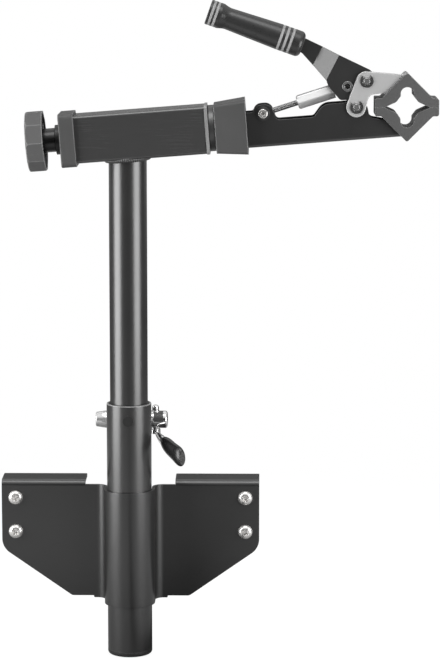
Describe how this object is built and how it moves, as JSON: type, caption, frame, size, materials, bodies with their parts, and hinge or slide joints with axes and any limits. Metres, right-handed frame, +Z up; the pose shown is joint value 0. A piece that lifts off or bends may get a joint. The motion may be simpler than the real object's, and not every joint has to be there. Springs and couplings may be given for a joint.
{
  "type": "bench mounted repair stand",
  "caption": "Bench edge repair stand: screwed bracket, sliding post with quick release, turning clamp head with lever jaw and threaded adjuster.",
  "frame": {"origin": "centre of the four bracket screws on the bracket's back face", "axes": "+Z up, +X towards the jaws, +Y into the bench, away from the user"},
  "size_m": [0.4396, 0.0934, 0.6637],
  "materials": {
    "black_paint": "satin black powder coat",
    "grey_plastic": "mid grey moulded plastic",
    "jaw_plastic": "grey moulded jaw block",
    "black_plastic": "black moulded plastic",
    "chrome": "bright chrome plate",
    "screw_steel": "bright nickel plate",
    "bare_steel": "turned steel",
    "dark_washer": "dark phosphated steel",
    "silver_zinc": "zinc plated sheet",
    "dark_pin": "dark phosphated steel",
    "grip_rubber": "black rubber grip",
    "ring_grey": "light grey rubber ring"
  },
  "bodies": {
    "bracket": {"bracket_plate": "black_paint", "bracket_screws": "screw_steel", "sleeve_tube": "black_paint", "post_liner": "black_plastic", "sleeve_end_plug": "black_plastic", "clamp_lugs": "black_paint", "qr_skewer": "bare_steel", "qr_washers": "bare_steel", "qr_housing": "chrome"},
    "qr_nut": {"qr_nut": "chrome"},
    "qr_lever": {"qr_cam_shaft": "chrome", "qr_lever": "chrome", "qr_lever_cover": "black_plastic"},
    "post_slider": {"post_plug": "black_plastic"},
    "post": {"post_tube": "black_paint", "post_weld": "black_paint", "head_tube": "black_paint", "front_end_plate": "bare_steel", "rear_bush": "black_plastic", "front_bush": "black_plastic", "end_cap": "grey_plastic", "thrust_washer": "black_plastic"},
    "clamp_head": {"head_shaft": "bare_steel", "friction_disc": "dark_washer", "collar": "grey_plastic", "clamp_arm": "black_paint", "lower_jaw_seat": "silver_zinc", "lower_jaw_pad": "jaw_plastic", "jaw_pin": "dark_pin", "jaw_pin_clip": "dark_pin", "rod_bolt": "screw_steel", "rod_bolt_nut": "dark_pin"},
    "knob": {"knob": "grey_plastic", "knob_insert": "bare_steel"},
    "jaw": {"jaw_link_front": "silver_zinc", "jaw_link_rear": "silver_zinc", "upper_jaw_seat": "silver_zinc", "upper_jaw_pad": "jaw_plastic", "lever_pin": "dark_pin", "lever_pin_clip": "dark_pin"},
    "lever": {"lever_plate_front": "black_paint", "lever_plate_rear": "black_paint", "lever_rivet": "dark_pin", "grip": "grip_rubber", "grip_rings": "ring_grey"},
    "rod": {"adjuster_rod": "dark_pin", "swivel_eye": "dark_pin"},
    "barrel": {"adjuster_barrel": "chrome"}
  },
  "joints": [
    {"name": "post_slide", "type": "slide", "parent": "bracket", "child": "post_slider", "axis": [0, 0, 1], "range_m": [-0.12, 0.05]},
    {"name": "post_swivel", "type": "hinge", "parent": "post_slider", "child": "post", "pos_m": [0, -0.0225, 0.2], "axis": [0, 0, 1], "continuous": true},
    {"name": "head_turn", "type": "hinge", "parent": "post", "child": "clamp_head", "pos_m": [0, -0.0225, 0.3912], "axis": [0.9971, 0, 0.0767], "continuous": true},
    {"name": "knob_turn", "type": "hinge", "parent": "clamp_head", "child": "knob", "pos_m": [-0.08973, -0.0225, 0.38429], "axis": [0.9971, 0, 0.0767], "continuous": true},
    {"name": "jaw_hinge", "type": "hinge", "parent": "clamp_head", "child": "jaw", "pos_m": [0.22686, -0.0225, 0.41999], "axis": [0, -1, 0], "range_deg": [0, 26]},
    {"name": "lever_hinge", "type": "hinge", "parent": "jaw", "child": "lever", "pos_m": [0.23662, -0.0225, 0.44561], "axis": [0, 1, 0], "range_deg": [0, 82]},
    {"name": "rod_hinge", "type": "hinge", "parent": "clamp_head", "child": "rod", "pos_m": [0.1345, -0.0225, 0.41328], "axis": [0, -1, 0], "range_deg": [0, 15.2]},
    {"name": "barrel_turn", "type": "hinge", "parent": "rod", "child": "barrel", "pos_m": [0.18248, -0.0225, 0.42741], "axis": [0.9516, 0, 0.3073], "continuous": true},
    {"name": "qr_nut_turn", "type": "hinge", "parent": "bracket", "child": "qr_nut", "pos_m": [-0.025, 0.0095, 0.097], "axis": [1, 0, 0], "continuous": true},
    {"name": "qr_lever_turn", "type": "hinge", "parent": "bracket", "child": "qr_lever", "pos_m": [0.0256, 0.0095, 0.097], "axis": [0, 0, 1], "range_deg": [0, 165]}
  ],
  "couplings": [
    {"joint": "lever_hinge", "follows": "jaw_hinge", "ratio": 3.14},
    {"joint": "rod_hinge", "follows": "jaw_hinge", "ratio": 0.58}
  ]
}
